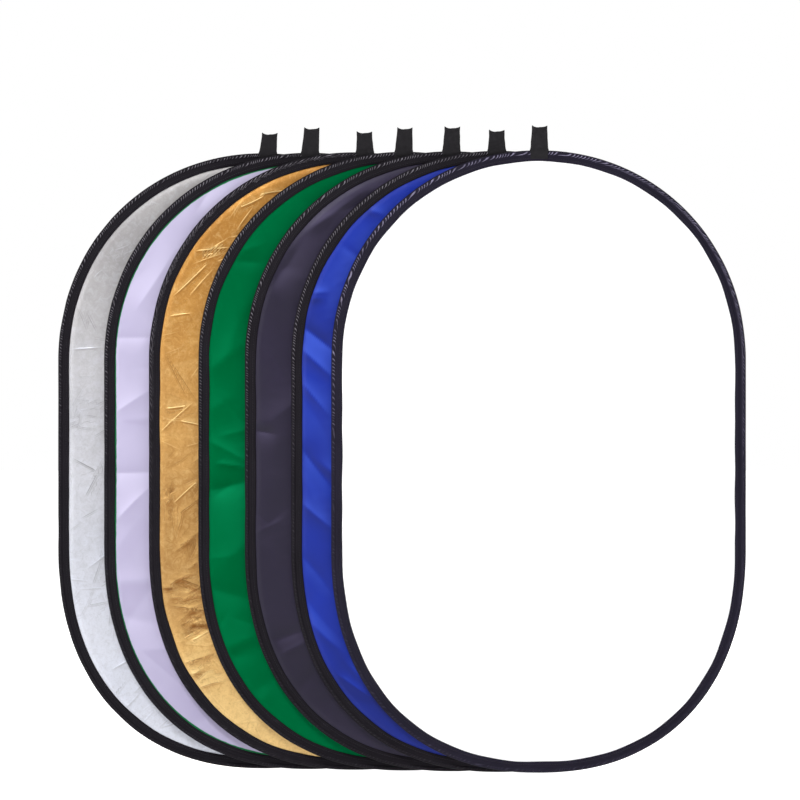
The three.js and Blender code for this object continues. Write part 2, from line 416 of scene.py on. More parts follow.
def fold(x, z, spot, turn, length, width, height, soft, bow):
    """One fold's height in millimetres, its tilt to the light, the distance across it and its strength."""
    cos, sin = math.cos(turn), math.sin(turn)
    dx, dz = (x - spot[0]) / MM, (z - spot[1]) / MM
    along = (dx * cos + dz * sin) / length + 0.5
    off = dz * cos - dx * sin - bow * length * (along - 0.5) ** 2
    fade = smooth(0, 0.3, along) * (1 - smooth(0.5, 1, along))
    reach = np.sqrt(off ** 2 + soft ** 2)
    body = height * fade * np.exp((soft - reach) / width)
    tilt = body * off / (reach * width) * (cos * FOLD_LIGHT[1] - sin * FOLD_LIGHT[0])
    return body, tilt, off, fade


def wanted_folds(kind, reach_x, reach_z, seed, mirrored):
    """All folds of a sheet: spot, turn, length, width, height, softness, bow and strength of the crest's
    painted line.
    """
    rng = np.random.default_rng(seed)
    flip = -1 if mirrored else 1
    folds = []
    for across, up, length, angle, width, height, soft, crest in FOLDS[kind]:
        spot = (flip * across * MM, up * MM)
        turn = math.radians(flip * angle)
        folds.append((spot, turn, length, width, height, soft, rng.normal(0, 0.06), crest))
    for style in CREASES[kind]:
        low, high = style.get("zone", (-1, 1))
        for _ in range(style["groups"]):
            middle = np.array([rng.uniform(-reach_x, reach_x), rng.uniform(low, high) * reach_z])
            group_turn = rng.normal(style["angle"], style["spread"])
            for _ in range(style.get("lines", 1)):
                spot = middle + rng.normal(0, style.get("scatter", 1) * MM, 2)
                turn = math.radians(group_turn + rng.normal(0, 7))
                size = rng.uniform(0.35, 1.0)
                height = style["height"] * size * rng.choice((-1, 1))
                length, bow = rng.uniform(*style["length"]), rng.normal(0, 0.12)
                soft, crest = style.get("soft", 1.2), size * style.get("crest", 0)
                folds.append((spot, turn, length, style["width"], height, soft, bow, crest))
    return folds


def crease_field(x, z, kind, seed, mirrored):
    """Height of a sheet's folds, their tilt to the light, distance to the nearest crest and how its painted
    line shows.
    """
    height, tilt, nearest = np.zeros_like(x), np.zeros_like(x), np.zeros_like(x)
    away, level = np.full_like(x, 10.0), np.zeros_like(x)
    for *shape, crest in wanted_folds(kind, np.abs(x).max(), np.abs(z).max(), seed, mirrored):
        body, slope, off, fade = fold(x, z, *shape)
        height += body
        tilt += slope
        if crest:
            claim = fade * np.exp(-((off / 5) ** 2))
            mine = claim > nearest
            nearest[mine] = claim[mine]
            away[mine], level[mine] = off[mine], fade[mine] * crest
    return height, tilt, away, level


def tilt_to_light(x, z, height):
    """How a relief given on a grid of points leans to the light, by differences between neighbours."""
    (xv, xu), (zv, zu), (hv, hu) = (np.gradient(values) for values in (x, z, height))
    area = xu * zv - xv * zu
    area = np.where(np.abs(area) < 1e-8, 1e-8, area)
    slope_x, slope_z = (hu * zv - hv * zu) / area, (hv * xu - hu * xv) / area
    return -MM * (slope_x * FOLD_LIGHT[0] + slope_z * FOLD_LIGHT[1])


def rim_half_thickness(inset):
    """Half the thickness of the folded tape at a distance in from its outer edge."""
    nose = np.clip(1 - inset / BULGE_INSET, 0, 1)
    round_part = BULGE_HALF * (1 - nose ** 2.2) ** (1 / 2.2)
    fall = smooth(BULGE_INSET, FLANGE_INSET, inset)
    return np.where(inset < BULGE_INSET, round_part, BULGE_HALF + (FLANGE_HALF - BULGE_HALF) * fall)


# ---------------------------------------------------------------- materials

# Distance between the bands of a wave texture whose scale is 1.
WAVE_PERIOD = 0.314


class Nodes:
    """A material's node tree with short calls for the nodes used here."""

    def __init__(self, name, roughness, metallic=0.0, sheen=0.0, specular=0.5):
        self.material = bpy.data.materials.new(name)
        self.material.use_nodes = True
        self.tree = self.material.node_tree
        self.shader = self.tree.nodes["Principled BSDF"]
        self.set(Roughness=roughness, Metallic=metallic)
        self.set(**{"Sheen Weight": sheen, "Specular IOR Level": specular})

    def set(self, **values):
        """Sets or links inputs of the material's shader."""
        for key, value in values.items():
            socket = self.shader.inputs[key]
            if isinstance(value, bpy.types.NodeSocket):
                self.tree.links.new(value, socket)
            else:
                socket.default_value = value

    def add(self, kind, output=0, **values):
        """A node with its inputs set or linked by name or number, and one of its outputs."""
        node = self.tree.nodes.new(kind)
        for key, value in values.items():
            if key.startswith("in_"):
                key = int(key[3:])
            elif hasattr(node, key):
                setattr(node, key, value)
                continue
            else:
                key = key.replace("_", " ")
            if isinstance(value, bpy.types.NodeSocket):
                self.tree.links.new(value, node.inputs[key])
            else:
                node.inputs[key].default_value = value
        return node.outputs[output]

    def place(self):
        """Position in metres."""
        return self.add("ShaderNodeTexCoord", output="Object")

    def cloth(self):
        """Position along and across a strip, in metres."""
        return self.add("ShaderNodeUVMap", uv_map="cloth")

    def attribute(self, name):
        return self.add("ShaderNodeAttribute", output="Fac", attribute_name=name)

    def scaled(self, vector, x, y):
        return self.add("ShaderNodeMapping", Vector=vector, Scale=(x, y, 1.0))

    def noise(self, vector, scale, detail, roughness=0.5, distortion=0.0):
        return self.add(
            "ShaderNodeTexNoise", Vector=vector, Scale=scale, Detail=detail,
            Roughness=roughness, Distortion=distortion,
        )

    def math(self, operation, a, b=0.0):
        return self.add("ShaderNodeMath", operation=operation, in_0=a, in_1=b)

    def spread(self, value, low, high, to_low=0.0, to_high=1.0):
        """The range low to high stretched onto to_low to to_high, and clamped."""
        return self.add("ShaderNodeMapRange", in_0=value, in_1=low, in_2=high, in_3=to_low, in_4=to_high)

    def mix(self, share, a, b):
        """Colour a, or colour b where the share is 1."""
        node = self.tree.nodes.new("ShaderNodeMix")
        node.data_type = "RGBA"
        for number, value in ((0, share), (6, a), (7, b)):
            if isinstance(value, bpy.types.NodeSocket):
                self.tree.links.new(value, node.inputs[number])
            else:
                node.inputs[number].default_value = value
        return node.outputs[2]

    def bump(self, height, distance, strength=1.0, below=None):
        """Adds a bump of the given depth in metres, on top of the bump below it."""
        values = {"Height": height, "Distance": distance, "Strength": strength}
        if below is not None:
            values["Normal"] = below
        return self.add("ShaderNodeBump", **values)


def colour(red, green, blue):
    """A linear colour from 0 to 255 display values."""
    def linear(value):
        value /= 255
        return value / 12.92 if value <= 0.04045 else ((value + 0.055) / 1.055) ** 2.4
    return (linear(red), linear(green), linear(blue), 1.0)


def darker(tone, share):
    """A colour with its brightness cut to a share of itself."""
    return tuple(share * c for c in tone[:3]) + (1.0,)


def thread_height(nodes, vector, direction, pitch, distortion):
    """One set of parallel threads."""
    return nodes.add(
        "ShaderNodeTexWave", output=1, bands_direction=direction, Vector=vector,
        Scale=WAVE_PERIOD / pitch, Distortion=distortion, Detail=1.0,
    )


def weave_height(nodes, vector, pitch):
    """Plain weave: two crossed sets of fine threads."""
    return nodes.math("MAXIMUM", *(thread_height(nodes, vector, axis, pitch, 0.4) for axis in ("X", "Y")))


def tape_material(name, dark, pale, painted_sheen):
    """Polyester tape: dull and flat inside, with a painted pale highlight on the puckers over the hoop."""
    nodes = Nodes(name, roughness=0.6, specular=0.08)
    where, cloth = nodes.place(), nodes.cloth()
    level = nodes.attribute("pucker")
    turns = nodes.math("MULTIPLY", nodes.attribute("pucker_turns"), 2 * math.pi)
    wave = nodes.spread(nodes.math("COSINE", turns), 0.3, 1.0)
    patch = nodes.spread(nodes.noise(cloth, 160, detail=2, roughness=0.6), 0.25, 0.45)
    dash = nodes.math("MULTIPLY", nodes.math("MULTIPLY", wave, patch), level)
    grain = nodes.noise(nodes.scaled(cloth, 1.0, 3.0), 900, detail=2)
    cloud = nodes.noise(where, 14, detail=2)
    base = nodes.mix(cloud, dark, pale)
    # Painted highlight: the tops of the puckers are coloured pale, as where the light catches them.
    nodes.set(**{"Base Color": nodes.mix(nodes.math("MINIMUM", dash, 1.0), base, painted_sheen)})
    nodes.set(Roughness=nodes.spread(dash, 0.0, 1.0, 0.62, 0.45))
    ribs = thread_height(nodes, cloth, "X", 0.7 * MM, 0.6)
    fine = nodes.bump(grain, 0.12 * MM, below=nodes.bump(ribs, 0.08 * MM))
    nodes.set(Normal=nodes.bump(dash, 0.5 * MM, below=fine))
    return nodes.material


def webbing_material():
    """Black ribbed webbing with a slightly dusty face, and painted shade in the furrows between its ribs."""
    nodes = Nodes("loop_webbing", roughness=0.85, specular=0.1)
    cloth = nodes.cloth()
    ribs = weave_height(nodes, cloth, 1.1 * MM)
    dust = nodes.noise(nodes.place(), 160, detail=4)
    black = nodes.mix(dust, colour(30, 29, 31), colour(48, 46, 49))
    # Painted shade: the furrows between the ribs are coloured darker.
    nodes.set(**{"Base Color": nodes.mix(ribs, colour(20, 19, 21), black)})
    nodes.set(Normal=nodes.bump(ribs, 0.25 * MM))
    return nodes.material


def thread_material():
    """Black twisted sewing thread."""
    nodes = Nodes("sewing_thread", roughness=0.55, specular=0.15)
    twist = nodes.noise(nodes.place(), 1800, detail=1)
    nodes.set(**{"Base Color": nodes.mix(twist, colour(20, 19, 22), colour(48, 46, 52))})
    nodes.set(Normal=nodes.bump(twist, 0.1 * MM))
    return nodes.material


def steel_material(name, tone, roughness):
    """Rolled steel strip with fine drawing lines and a little tarnish."""
    nodes = Nodes(name, roughness=roughness, metallic=1.0)
    cloth = nodes.cloth()
    lines = nodes.noise(nodes.scaled(cloth, 3.0, 4000.0), 1.0, detail=2)
    tarnish = nodes.noise(nodes.place(), 60, detail=4)
    nodes.set(**{"Base Color": nodes.mix(tarnish, tone, darker(tone, 0.7))})
    nodes.set(Roughness=nodes.spread(lines, 0.2, 0.8, roughness - 0.08, roughness + 0.1))
    nodes.set(Normal=nodes.bump(lines, 0.02 * MM))
    return nodes.material


def foil_look(nodes, where, tone, normal, dark, light, strength):
    """Adds a metallised film's crinkles to the normal, and to the tone a painted highlight on their tops,
    painted shade in their hollows and a random dark grain.
    """
    grain = nodes.noise(where, 420, detail=3, roughness=0.6)
    small = nodes.noise(where, 110, detail=5, roughness=0.65, distortion=1.2)
    wide = nodes.noise(where, 30, detail=4, roughness=0.6, distortion=0.8)
    normal = nodes.bump(small, 0.8 * MM, strength=0.3 * strength, below=normal)
    normal = nodes.bump(wide, 2.5 * MM, strength=0.22 * strength, below=normal)
    # Painted highlight on the crinkles' tops and painted shade in their hollows; the grain below is random.
    tone = nodes.mix(nodes.spread(small, 0.5, 0.75, 0.0, 0.3 * strength), tone, light)
    tone = nodes.mix(nodes.spread(small, 0.5, 0.25, 0.0, 0.45 * strength), tone, dark)
    tone = nodes.mix(nodes.spread(grain, 0.5, 0.2, 0.0, 0.35 * strength), tone, dark)
    return tone, normal


def cloth_material(
    name, base, dark, light, roughness, specular=0.3, metallic=0.0, sheen=0.0, foil=0.0, foot=0.0, hem=None,
):
    """A stretched cloth skin with painted light and shade that follow its folds, and painted light or dark
    lines on its crests.

    Foil adds crinkles with painted highlights and shade, foot paints the bottom lighter as a painted
    reflection of the floor, and hem colours a sliver along the binding.
    """
    nodes = Nodes(name, roughness=roughness, metallic=metallic, sheen=sheen, specular=specular)
    where = nodes.place()
    flat = nodes.add("ShaderNodeMapping", Vector=where, Rotation=(math.pi / 2, 0, 0))
    cloud = nodes.noise(where, 9, detail=3)
    tone = nodes.mix(nodes.spread(cloud, 0.35, 0.65, 0.0, 0.4), base, dark)
    # Painted reflection: the bottom of the sheet is coloured lighter, as where the floor shows in it.
    if foot:
        height = nodes.add("ShaderNodeSeparateXYZ", output=2, Vector=where)
        tone = nodes.mix(nodes.spread(height, 0.75, 0.15, 0.0, foot), tone, light)
    # Painted light and shade of the folds and of the broad bands.
    painted_shading = nodes.attribute("painted_shading")
    tone = nodes.mix(nodes.spread(painted_shading, 0.0, 1.0), tone, light)
    tone = nodes.mix(nodes.spread(painted_shading, 0.0, -1.0), tone, dark)

    # Painted highlight line on a crest, painted shade line where its level is negative, and painted shade
    # along one side of it.
    away, level = nodes.attribute("crest_away"), nodes.attribute("crest_level")
    line = nodes.spread(nodes.math("ABSOLUTE", away), 0.0, 0.9, 1.0, 0.0)
    crest = nodes.math("MULTIPLY", line, level)
    beside = nodes.spread(nodes.math("ABSOLUTE", nodes.math("ADD", away, 2.2)), 0.0, 1.6, 0.7, 0.0)
    shade = nodes.math("MULTIPLY", beside, nodes.math("ABSOLUTE", level))
    weave = weave_height(nodes, flat, 0.8 * MM)
    normal = nodes.bump(crest, 0.5 * MM, below=nodes.bump(weave, 0.03 * MM))
    if foil:
        tone, normal = foil_look(nodes, where, tone, normal, dark, light, foil)
    # Painted shade beside the crest, then the crest's painted highlight or shade line.
    tone = nodes.mix(nodes.math("MINIMUM", shade, 1.0), tone, dark)
    tone = nodes.mix(nodes.spread(crest, 0.0, 1.0), tone, light)
    tone = nodes.mix(nodes.spread(crest, 0.0, -1.0), tone, darker(dark, 0.6))
    if hem:
        inset = nodes.math("ADD", nodes.attribute("hem"), nodes.noise(where, 120, detail=1))
        tone = nodes.mix(nodes.spread(inset, 5.9, 6.5, 1.0, 0.0), tone, hem)
    nodes.set(**{"Base Color": tone})
    nodes.set(Roughness=nodes.spread(cloud, 0.3, 0.7, roughness - 0.05, roughness + 0.06))
    nodes.set(Normal=normal)
    return nodes.material


# The last colour of each tape is the painted highlight on its puckers.
TAPE = tape_material("binding_tape", colour(17, 14, 19), colour(28, 25, 31), colour(128, 124, 132))
FRONT_TAPE = tape_material(
    "front_binding_tape", colour(24, 21, 32), colour(34, 31, 45), colour(146, 140, 166),
)
WEBBING = webbing_material()
THREAD = thread_material()
STEEL = steel_material("spring_steel", colour(150, 152, 156), 0.32)
FERRULE = steel_material("ferrule_metal", colour(190, 188, 182), 0.4)

# Plain, dark and light tone, roughness and other properties of each fabric. Besides a random cloudiness, the
# dark and light tones paint the shade and highlights of its folds, crests and crinkles, and the light tone
# the painted reflection at the foot.
SKIN_LOOKS = {
    "diffuser": dict(
        base=colour(253, 253, 254), dark=colour(249, 249, 251), light=colour(255, 255, 255),
        roughness=0.7, sheen=0.05,
    ),
    "blue": dict(
        base=colour(20, 44, 150), dark=colour(12, 28, 108), light=colour(50, 76, 184),
        roughness=0.42, specular=0.18,
    ),
    "black": dict(
        base=colour(35, 29, 50), dark=colour(20, 16, 32), light=colour(78, 71, 98),
        roughness=0.4, specular=0.22,
    ),
    "green": dict(
        base=colour(0, 94, 52), dark=colour(0, 76, 38), light=colour(6, 118, 72),
        roughness=0.6, specular=0.0,
    ),
    "gold": dict(
        base=colour(184, 131, 60), dark=colour(122, 76, 24), light=colour(250, 222, 156),
        roughness=0.42, metallic=0.45, foil=0.7, foot=0.3,
    ),
    "soft_white": dict(
        base=colour(178, 172, 199), dark=colour(156, 149, 178), light=colour(206, 200, 226),
        roughness=0.6, specular=0.2, sheen=0.05, hem=colour(0, 100, 54),
    ),
    "silver": dict(
        base=colour(168, 165, 165), dark=colour(130, 128, 130), light=colour(220, 225, 240),
        roughness=0.45, metallic=0.35, foil=0.6, foot=0.55,
    ),
}
SKINS = {kind: cloth_material(SLOTS[kind], **look) for kind, look in SKIN_LOOKS.items()}


# ---------------------------------------------------------------- pieces

def strip_uv(oval, share, inset, depth):
    """Length round the oval and distance across the section, for each point of a swept ring."""
    across = np.concatenate([[0], np.cumsum(np.hypot(np.diff(inset), np.diff(depth)))])
    return np.stack(np.broadcast_arrays(share[:, None] * oval.length, across[None, :]), -1).reshape(-1, 2)


def tape_section():
    """The folded tape's closed cross-section as insets and depths, and which points are on its outer face."""
    outside, inside = np.array(TAPE_OUTSIDE) * MM, np.array(TAPE_INSIDE) * MM
    half_out, half_in = rim_half_thickness(outside), rim_half_thickness(inside) - TAPE_THICK
    inset = np.concatenate([outside, [0.0], outside[::-1], inside[::-1], [TAPE_THICK], inside])
    depth = np.concatenate([-half_out, [0.0], half_out[::-1], half_in[::-1], [0.0], -half_in])
    return inset, depth, np.arange(len(inset)) < 2 * len(outside) + 1


def pucker_turns(share, x, inset, side, waves, style, seed):
    """Phase, in turns, of the slanted pucker strokes at each point of the tape."""
    drift = 0.6 * ring_noise(share, 20, 90, seed + 2)
    stroke = inset / STROKE_RUN + 0.2 * np.sin(inset / STROKE_WIGGLE * 2 * np.pi)
    lean = -stroke * np.where(side < 0, 1.0, -1.0)
    slant = style["slant"] * (1 + style["satin"] * smooth(0.1, 0.7, x / np.abs(x).max()))
    start = np.random.default_rng(seed).random()
    return waves * share[:, None] + drift[:, None] + slant[:, None] * lean[None, :] + start


def binding_piece(name, oval, centre, style, material, seed):
    """The folded tape as one closed ring, with puckers over the hoop that, with their painted highlight, are
    strongest round the top.
    """
    steps = int(oval.length / RIM_STEP)
    share = np.arange(steps) / steps
    x, z, nx, nz = oval.at(share)
    inset, depth, outer_face = tape_section()
    side = np.sign(depth)

    # Puckers and the painted highlight on them are strongest round the top, where the light falls, and faint
    # at the bottom.
    top = smooth(-0.15, 0.8, z / np.abs(z).max())
    patches = np.clip(0.9 + 0.25 * ring_noise(share, 6, 30, seed + 1), 0.3, 1.3)
    level = (PUCKER_AT_BOTTOM + (1 - PUCKER_AT_BOTTOM) * top) * patches
    limit = (style["strip"] - 1.0 + 1.0 * top) * MM
    zone = smooth(1.4 * MM, 2.4 * MM, inset)[None, :]
    zone = zone * (1 - smooth(0, 1.4 * MM, inset[None, :] - limit[:, None])) * outer_face
    waves = int(oval.length / style["pitch"])
    turns = pucker_turns(share, x, inset, side, waves, style, seed)
    each = np.clip(0.85 + 0.3 * ring_noise(share, waves // 3, waves // 2, seed + 3), 0.3, 1.3)
    dash = smooth(-0.3, 1.0, np.cos(2 * np.pi * turns))
    pucker = (level * each)[:, None] * zone
    bulk = PUCKER_BULK * ring_noise(share, 30, 140, seed + 4)[:, None] * zone * level[:, None]
    waver = INNER_WAVER * ring_noise(share, 8, 36, seed + 5)
    free_side = (z < oval.z.max() * 0.8) & (z > oval.z.min() * 0.97)
    sway = np.clip(OUTER_SWAY * ring_noise(share, 9, 40, seed + 6) * free_side, 0, None)

    lift = PUCKER_HEIGHT * (dash - 0.35) * pucker + bulk
    where_in = inset[None, :] + waver[:, None] * smooth(6 * MM, 15 * MM, inset)[None, :]
    where_in = where_in - 0.5 * lift * (1 - smooth(1 * MM, 4 * MM, inset))[None, :]
    where_in = where_in + sway[:, None] * (1 - smooth(0, 7 * MM, inset))[None, :]
    points = np.stack([
        centre[0] + x[:, None] + nx[:, None] * where_in,
        centre[1] + depth[None, :] + side[None, :] * lift,
        centre[2] + z[:, None] + nz[:, None] * where_in,
    ], -1).reshape(-1, 3)
    faces = grid_faces(steps, len(inset), wrap_rows=True, wrap_columns=True)
    # The pucker mark sets the tape's bump and its painted highlight.
    marks = {"pucker": style["pucker"] * pucker, "pucker_turns": turns}
    return make_mesh(f"{name}_tape", points, faces, material, strip_uv(oval, share, inset, depth), marks)


def stitch_row_points(oval, centre, face):
    """Middles and directions of the stitches in one row of sewing on one face of the binding."""
    count = int(oval.length / STITCH_PITCH)
    share = np.arange(count) / count
    x, z, nx, nz = oval.at(share)
    y = face * (FLANGE_HALF + 0.05 * MM)
    middle = np.stack([
        centre[0] + x + nx * SEAM_INSET,
        np.full(count, centre[1] + y),
        centre[2] + z + nz * SEAM_INSET,
    ], 1)
    along = np.stack([nz, np.zeros(count), -nx], 1)
    return middle, along


def stitches(name, middle, along, outward):
    """Small pointed bars of thread, four sided, at the given places."""
    sideways = np.cross(along, outward)
    points = []
    for position, width in STITCH_ROWS:
        for up, across in ((1, 0), (0, 1), (-1, 0), (0, -1)):
            points.append(
                middle + along * position * STITCH_LENGTH
                + (outward * up + sideways * across) * STITCH_RADIUS * width
            )
    points = np.stack(points, 1)
    one = grid_faces(len(STITCH_ROWS), 4, wrap_columns=True).tolist()
    last = 4 * (len(STITCH_ROWS) - 1)
    one += [(3, 2, 1, 0), (last, last + 1, last + 2, last + 3)]
    first = np.arange(len(middle)) * points.shape[1]
    faces = (np.array(one)[None] + first[:, None, None]).reshape(-1, 4)
    return make_mesh(name, points.reshape(-1, 3), faces, THREAD)


def ring_strip(name, oval, centre, corners, material, steps=600):
    """A closed strip along the oval from a cross-section of (inset, depth) corners."""
    share = np.arange(steps) / steps
    x, z, nx, nz = oval.at(share)
    inset, depth = np.array(corners).T
    points = np.stack([
        centre[0] + x[:, None] + nx[:, None] * inset,
        np.broadcast_to(centre[1] + depth, (steps, len(inset))),
        centre[2] + z[:, None] + nz[:, None] * inset,
    ], -1).reshape(-1, 3)
    faces = grid_faces(steps, len(inset), wrap_rows=True, wrap_columns=True)
    return make_mesh(name, points, faces, material, strip_uv(oval, share, inset, depth))


def rounded_box_section(low, high, half, bevel):
    """Corners of a rectangle with cut corners, as (inset, depth), from low to high inset."""
    return [
        (low + bevel, -half), (low, -half + bevel), (low, half - bevel), (low + bevel, half),
        (high - bevel, half), (high, half - bevel), (high, -half + bevel), (high - bevel, -half),
    ]


def ferrule_piece(name, box):
    """A crimped sleeve: a flattened tube with two pinched grooves."""
    low, high = (np.array(corner) for corner in box)
    middle, half = (low + high) / 2, (high - low) / 2
    along = np.linspace(-1, 1, 61)
    pinch = 1 - GROOVE_DEPTH * sum(np.exp(-(((along - at) / GROOVE_WIDTH) ** 2)) for at in FERRULE_GROOVES)
    turn = np.linspace(0, 2 * np.pi, 28, endpoint=False)
    squareness = 1 / 3
    ring_y = np.sign(np.cos(turn)) * np.abs(np.cos(turn)) ** squareness
    ring_z = np.sign(np.sin(turn)) * np.abs(np.sin(turn)) ** squareness
    rows = []
    for shrink, order in ((0.0, along), (FERRULE_WALL, along[::-1])):
        for position in order:
            squeeze = np.interp(position, along, pinch)
            rows.append(np.stack([
                np.full(len(turn), middle[0] + half[0] * position),
                middle[1] + ring_y * (half[1] - shrink),
                middle[2] + ring_z * (half[2] * squeeze - shrink),
            ], 1))
    points = np.concatenate(rows)
    faces = grid_faces(len(rows), len(turn), wrap_rows=True, wrap_columns=True)
    uv = np.stack([points[:, 0], points[:, 1]], 1)
    return make_mesh(name, points, faces, FERRULE, uv)


def sheet_grid(oval):
    """Points of a rectangular grid stretched over the oval, their share round it and distance to its edge."""
    columns = int(2 * np.abs(oval.x).max() / SKIN_CELL)
    rows = int(2 * np.abs(oval.z).max() / SKIN_CELL)
    u, v = np.meshgrid(np.linspace(-1, 1, columns), np.linspace(-1, 1, rows))
    disc_x, disc_z = u * np.sqrt(1 - v * v / 2), v * np.sqrt(1 - u * u / 2)
    reach = np.hypot(disc_x, disc_z)
    share = np.arctan2(disc_z, disc_x) / (2 * np.pi)
    edge_x, edge_z, nx, nz = oval.at(share)
    edge_x, edge_z = edge_x + nx * SKIN_INSET, edge_z + nz * SKIN_INSET
    return edge_x * reach, edge_z * reach, share, np.hypot(edge_x, edge_z) * (1 - reach)


def sheet_relief(x, z, share, to_edge, kind, seed, mirrored):
    """How far a sheet stands out of its plane, and the point attributes that its material reads."""
    slack, net, gain = SLACK[kind]
    free = smooth(2 * MM, 60 * MM, to_edge)
    taut = smooth(0, 12 * MM, to_edge)
    creases, tilt, crest_away, crest_level = crease_field(x, z, kind, seed, mirrored)
    patch = 0.3 + 0.7 * smooth(-0.2, 1.0, ripples(x, z, 0.26, seed + 5))
    crumples = crumple(0.6 * x, z, 0.07, seed + 2) + 0.5 * crumple(0.7 * x, z, 0.032, seed + 3)
    waves = slack * ripples(x, z, 0.34, seed + 1) * free
    waves += net * patch * crumples * free
    gather = 0.12 * (1 + ring_noise(share % 1.0, 40, 150, seed + 4))
    gather = gather * taut * (1 - smooth(10 * MM, 50 * MM, to_edge))
    relief = BILLOW * taut + waves + creases * taut + gather
    relief = 0.5 * (relief + np.sqrt(relief ** 2 + 0.2))
    relief = MM * RELIEF_LIMIT * np.tanh(relief / RELIEF_LIMIT)
    # Painted light and shade: the tone follows the folds' tilt to the light, plus the broad bands.
    painted_shading = gain * (tilt * taut + tilt_to_light(x, z, waves))
    for middle, half, tone in BANDS[kind]:
        painted_shading += tone * np.exp(-(((z / MM - middle) / half) ** 2))
    marks = {
        "crest_away": crest_away,
        "crest_level": crest_level * taut,
        "painted_shading": np.clip(painted_shading, -1, 1),
        "hem": to_edge / MM,
    }
    return relief, marks


def sheet_faces(rows, columns):
    """Faces of two layers of a grid and of the border that closes them."""
    count = rows * columns
    faces = grid_faces(rows, columns)
    border = np.concatenate([
        np.arange(columns),
        np.arange(1, rows) * columns + columns - 1,
        (rows - 1) * columns + np.arange(columns - 2, -1, -1),
        np.arange(rows - 2, 0, -1) * columns,
    ])
    after = np.roll(border, -1)
    rim_faces = np.stack([border, border + count, after + count, after], 1)
    return np.concatenate([faces, faces[:, ::-1] + count, rim_faces])


def skin_piece(name, oval, centre, kind, face, panel_seed):
    """A stretched sheet whose edge runs into the binding; face is -1 for the front skin, 1 for the back."""
    x, z, share, to_edge = sheet_grid(oval)
    seed = panel_seed + (60 if face > 0 else 0)
    relief, marks = sheet_relief(x, z, share, to_edge, kind, seed, face > 0)
    front = centre[1] + face * (SKIN_OFFSET + relief)
    points = np.concatenate([
        np.stack([centre[0] + x, y, centre[2] + z], -1).reshape(-1, 3)
        for y in (front, front - face * SKIN_THICK)
    ])
    marks = {key: np.tile(values.ravel(), 2) for key, values in marks.items()}
    return make_mesh(name, points, sheet_faces(*x.shape), SKINS[kind], attributes=marks)


def webbing_path(height):
    """The strip's middle line from the front tail to the back tail: run, y, z and outward y and z."""
    corners = np.array([
        (-(FLANGE_HALF + 0.9 * MM), -TAIL_LENGTH),
        (-(FLANGE_HALF + 1.3 * MM), -TAIL_LENGTH * 0.72),
        (-(BULGE_HALF + 0.9 * MM), -4.0 * MM),
        (-(BULGE_HALF + 1.0 * MM), -1.0 * MM),
        (-(BULGE_HALF - 0.1 * MM), 3.0 * MM),
        (-3.1 * MM, height * 0.45),
        (-2.1 * MM, height * 0.78),
        (-1.7 * MM, height - 2.2 * MM),
        (-1.0 * MM, height - 0.9 * MM),
    ])
    path = np.concatenate([corners, [(0.0, height - WEBBING_THICK / 2)], corners[::-1] * (-1, 1)])
    run = np.concatenate([[0], np.cumsum(np.hypot(*np.diff(path, axis=0).T))])
    s = np.linspace(0, run[-1], int(run[-1] / WEBBING_STEP))
    y, z = np.interp(s, run, path[:, 0]), np.interp(s, run, path[:, 1])
    soften = np.hanning(9) / np.hanning(9).sum()
    for values in (y, z):
        padded = np.concatenate([2 * values[0] - values[4:0:-1], values, 2 * values[-1] - values[-2:-6:-1]])
        values[:] = np.convolve(padded, soften, "valid")
    ty, tz = np.gradient(y), np.gradient(z)
    size = np.hypot(ty, tz)
    return s, y, z, -tz / size, ty / size


def loop_piece(name, centre, rim_top, loop_x, loop_top, lean, seed):
    """One strip of webbing: up the front of the rim, over its fold at the top, and down the back."""
    height = loop_top - rim_top
    s, y, z, out_y, out_z = webbing_path(height)
    half_width = WEBBING_BASE / 2 + (WEBBING_TOP - WEBBING_BASE) / 2 * smooth(0, height * 0.9, z)
    half_width = half_width + 0.8 * MM * np.exp(-((z / (2.2 * MM)) ** 2))
    half_width = half_width + 0.15 * MM * ring_noise(s / s[-1], 2, 9, seed)

    across = np.array([-1, -0.985, -0.94, -0.86, -0.7, -0.45, -0.2, 0, 0.2, 0.45, 0.7, 0.86, 0.94, 0.985, 1])
    half_thick = np.array([0.25, 0.75, 1.05, 1.12, 1, 1, 1, 1, 1, 1, 1, 1.12, 1.05, 0.75, 0.25])
    u = np.concatenate([across, across[::-1]])
    t = np.concatenate([half_thick, -half_thick[::-1]]) * WEBBING_THICK / 2
    corner = np.where(u < 0, HORN_LEFT, HORN_RIGHT) * (np.abs(u) ** 3 - 0.45)
    horn = smooth(height * 0.5, height, z)[:, None] * corner[None, :]
    wobble = 0.25 * MM * ripples(s[:, None] + 0 * u, 0.012 * u + 0 * s[:, None], 0.02, seed + 1)
    sideways = lean * np.clip(z, 0, None)
    points = np.stack([
        loop_x + sideways[:, None] + half_width[:, None] * u[None, :],
        centre[1] + y[:, None] + out_y[:, None] * t[None, :] + wobble * smooth(0, 8 * MM, z)[:, None],
        rim_top + z[:, None] + out_z[:, None] * t[None, :] + horn,
    ], -1)
    rows, columns = points.shape[:2]
    ends = []
    for cap in (np.arange(columns), (rows - 1) * columns + np.arange(columns)[::-1]):
        for k in range(len(across) - 1):
            ends.append((cap[k], cap[columns - 1 - k], cap[columns - 2 - k], cap[k + 1]))
    faces = np.concatenate([grid_faces(rows, columns, wrap_columns=True), ends])
    uv = np.stack(np.broadcast_arrays(u[None, :] * WEBBING_BASE / 2, s[:, None]), -1).reshape(-1, 2)
    return make_mesh(name, points.reshape(-1, 3), faces, WEBBING, uv)


def face_outwards(piece):
    """Makes a closed mesh's faces point out, so that its solid is not inside out."""
    work = bmesh.new()
    work.from_mesh(piece.data)
    if work.calc_volume(signed=True) < 0:
        bmesh.ops.reverse_faces(work, faces=work.faces)
        work.to_mesh(piece.data)
    work.free()


